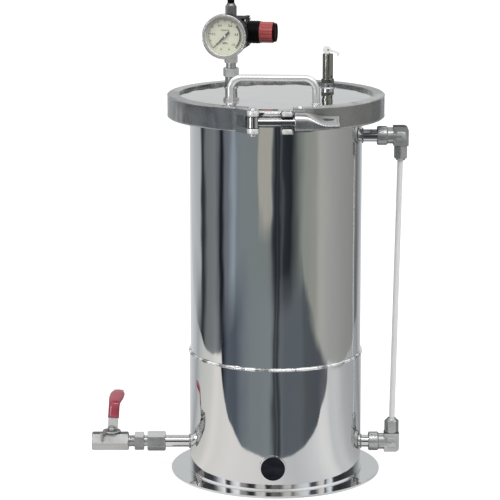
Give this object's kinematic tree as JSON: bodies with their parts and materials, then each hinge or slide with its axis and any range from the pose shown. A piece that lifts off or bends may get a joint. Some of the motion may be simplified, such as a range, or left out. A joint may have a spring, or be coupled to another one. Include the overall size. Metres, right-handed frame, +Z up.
{
  "type": "resin pressure pot",
  "caption": "Stainless pressure tank on a skirt with a clamped flat lid, regulator, gauge, relief valve, drain ball valve and sight-tube level gauge.",
  "frame": {"origin": "centre of the underside of the base ring", "axes": "+Z up; -Y is the front, where the clamp closes; -X is the drain side; +X is the level gauge side"},
  "size_m": [0.4515, 0.3503, 0.6715],
  "materials": {
    "mirror_steel": "buffed to a mirror",
    "flange_steel": "turned",
    "clamp_steel": "satin casting",
    "bright_steel": "polished",
    "machined_steel": "as machined",
    "cast_steel": "fine cast, bead blasted",
    "spring_steel": "drawn wire",
    "seal_rubber": "moulded silicone",
    "diaphragm_rubber": "moulded",
    "black_plastic": "moulded",
    "red_plastic": "moulded",
    "dark_red_plastic": "moulded",
    "vinyl": "dipped vinyl",
    "ptfe": "turned",
    "brass": "as machined",
    "dial_enamel": "matt enamel",
    "needle_black": "matt",
    "lens": "clear",
    "relief_metal": "dark plated",
    "relief_lever_white": "light plated",
    "sight_nylon": "translucent"
  },
  "bodies": {
    "pot": {"base_ring": "mirror_steel", "skirt": "mirror_steel", "vent_rim": "mirror_steel", "tank_bottom": "mirror_steel", "tank_shell": "mirror_steel", "tank_flange": "flange_steel", "lid_gasket": "seal_rubber", "lid_plate": "mirror_steel", "lid_handle": "mirror_steel", "air_nozzle": "bright_steel", "relief_socket": "bright_steel", "band_left": "clamp_steel", "band_right": "clamp_steel", "band_hinge_pin": "bright_steel", "fork_rivet": "bright_steel", "t_bolt_pin": "bright_steel", "air_locknut": "bright_steel", "air_stem": "bright_steel", "regulator_body": "black_plastic", "regulator_diaphragm": "diaphragm_rubber", "regulator_spring": "spring_steel", "regulator_bonnet": "black_plastic", "inlet_fitting": "machined_steel", "gauge_socket": "brass", "gauge_case": "bright_steel", "gauge_bezel": "bright_steel", "gauge_lens": "lens", "gauge_dial": "dial_enamel", "bourdon_tube": "brass", "relief_body": "relief_metal", "relief_cap": "machined_steel", "relief_spring": "spring_steel", "drain_tee": "bright_steel", "drain_pipe": "bright_steel", "union_nut": "machined_steel", "drain_nipple": "machined_steel", "valve_body": "machined_steel", "valve_insert": "machined_steel", "valve_seats": "ptfe", "level_nozzle": "bright_steel", "level_pipe": "bright_steel", "upper_elbow": "cast_steel", "lower_elbow": "cast_steel", "tube_nuts": "machined_steel", "sight_tube": "sight_nylon"},
    "valve_lever": {"valve_lever": "machined_steel", "lever_sleeve": "vinyl", "lever_nut": "machined_steel", "valve_stem": "bright_steel", "valve_ball": "bright_steel"},
    "adjuster": {"adjusting_screw": "bright_steel"},
    "knob": {"regulator_knob": "red_plastic", "knob_cap": "dark_red_plastic"},
    "release_ring": {"release_ring": "black_plastic"},
    "gauge_needle": {"gauge_needle": "needle_black"},
    "relief_spindle": {"relief_spindle": "bright_steel"},
    "relief_lever": {"relief_lever": "relief_lever_white", "relief_pin": "bright_steel"},
    "t_bolt": {"t_bolt": "bright_steel"},
    "wing_nut": {"wing_nut": "bright_steel"}
  },
  "joints": [
    {"name": "valve_lever_turn", "type": "hinge", "parent": "pot", "child": "valve_lever", "pos_m": [-0.2364, 0, 0.0395], "axis": [0, 0, 1], "range_deg": [0, 90]},
    {"name": "regulator_turn", "type": "hinge", "parent": "pot", "child": "adjuster", "pos_m": [-0.02149, 0.0748, 0.624], "axis": [0.9816, -0.1908, 0], "continuous": true},
    {"name": "knob_pull", "type": "slide", "parent": "adjuster", "child": "knob", "axis": [0.9816, -0.1908, 0], "range_m": [0, 0.0025]},
    {"name": "release_ring_press", "type": "slide", "parent": "pot", "child": "release_ring", "axis": [0, 0, -1], "range_m": [0, 0.0015]},
    {"name": "gauge_needle_turn", "type": "hinge", "parent": "pot", "child": "gauge_needle", "pos_m": [-0.07219, 0.03932, 0.622], "axis": [0.1908, 0.9816, 0], "range_deg": [0, 270]},
    {"name": "relief_lift", "type": "slide", "parent": "pot", "child": "relief_spindle", "axis": [0, 0, 1], "range_m": [0, 0.002], "deforming": ["relief_spring"]},
    {"name": "relief_lever_turn", "type": "hinge", "parent": "relief_spindle", "child": "relief_lever", "pos_m": [0.0752, 0.082, 0.598], "axis": [0, -1, 0], "range_deg": [0, 85]},
    {"name": "t_bolt_swing", "type": "hinge", "parent": "pot", "child": "t_bolt", "pos_m": [-0.0324, -0.166, 0.531], "axis": [0, 0, -1], "range_deg": [0, 110]},
    {"name": "wing_nut_turn", "type": "hinge", "parent": "t_bolt", "child": "wing_nut", "pos_m": [0.03, -0.166, 0.531], "axis": [1, 0, 0], "continuous": true}
  ],
  "couplings": [
    {"joint": "relief_lift", "follows": "relief_lever_turn", "m_per_rad": 0.0013}
  ]
}
